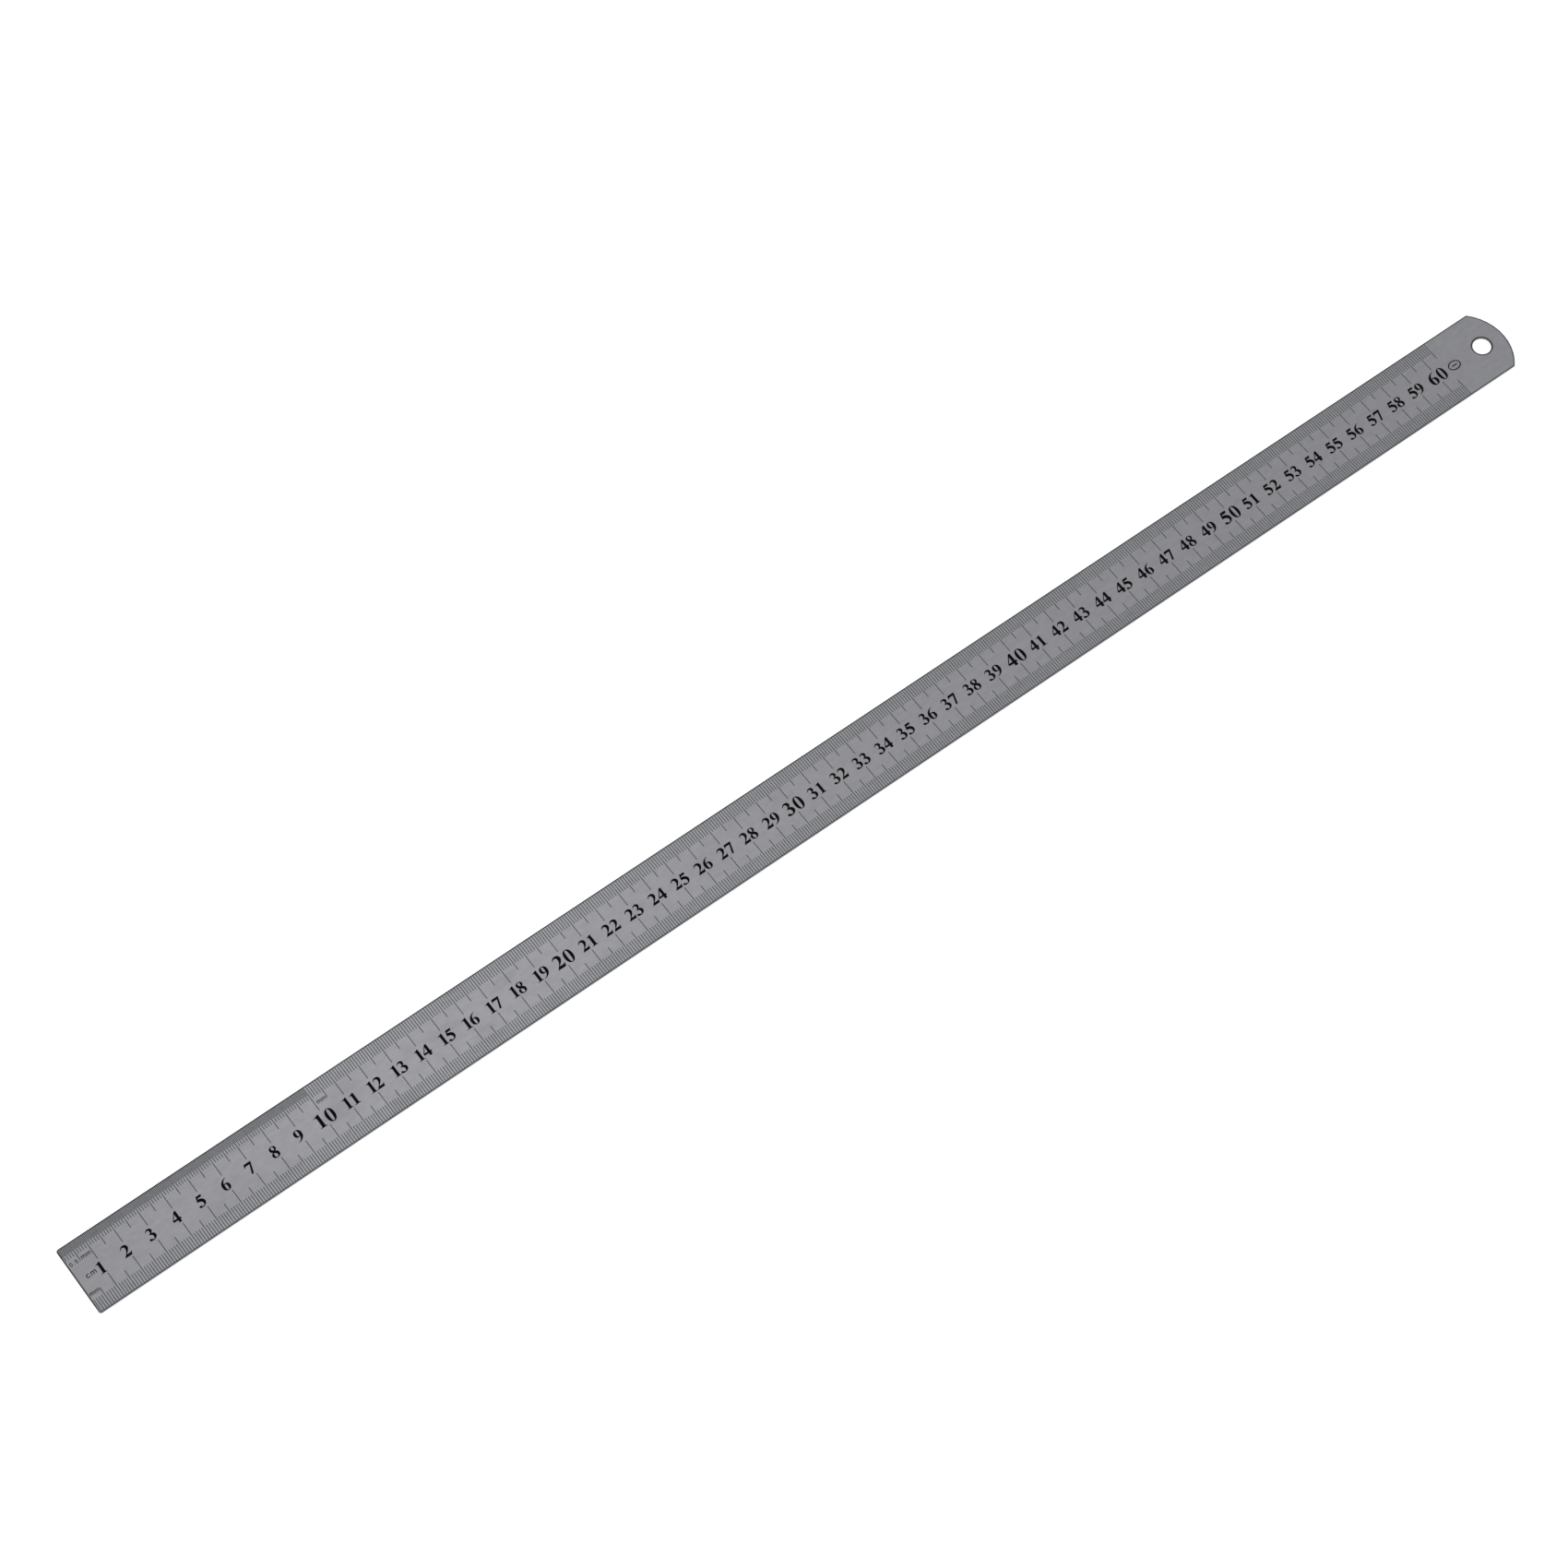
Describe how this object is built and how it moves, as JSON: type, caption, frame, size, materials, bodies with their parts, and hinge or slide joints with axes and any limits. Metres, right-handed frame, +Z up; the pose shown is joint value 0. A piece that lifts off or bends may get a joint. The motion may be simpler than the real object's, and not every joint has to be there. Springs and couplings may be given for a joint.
{
  "type": "steel ruler",
  "caption": "Thin straight stainless steel rule with metric scales etched along both edges, black centimetre numerals, a square zero end and a rounded end with a hanging hole.",
  "frame": {"origin": "middle of the overall length and width, on the back face", "axes": "+X along the blade from the square zero end to the rounded end with the hole, +Y across it towards the edge with the half-millimetre scale, +Z up out of the graduated face"},
  "size_m": [0.632, 0.028, 0.001],
  "materials": {
    "steel": "satin stainless steel, fine grain along the blade",
    "enamel": "baked black enamel, low sheen"
  },
  "bodies": {
    "root": {"blade": "steel", "upper_half_millimetre_lines": "enamel", "upper_millimetre_lines": "enamel", "upper_five_millimetre_lines": "enamel", "upper_centimetre_lines": "enamel", "lower_millimetre_lines": "enamel", "lower_five_millimetre_lines": "enamel", "lower_centimetre_lines": "enamel", "centimetre_numerals": "enamel", "ten_centimetre_numerals": "enamel", "unit_labels": "enamel", "end_mark": "enamel"}
  },
  "joints": []
}
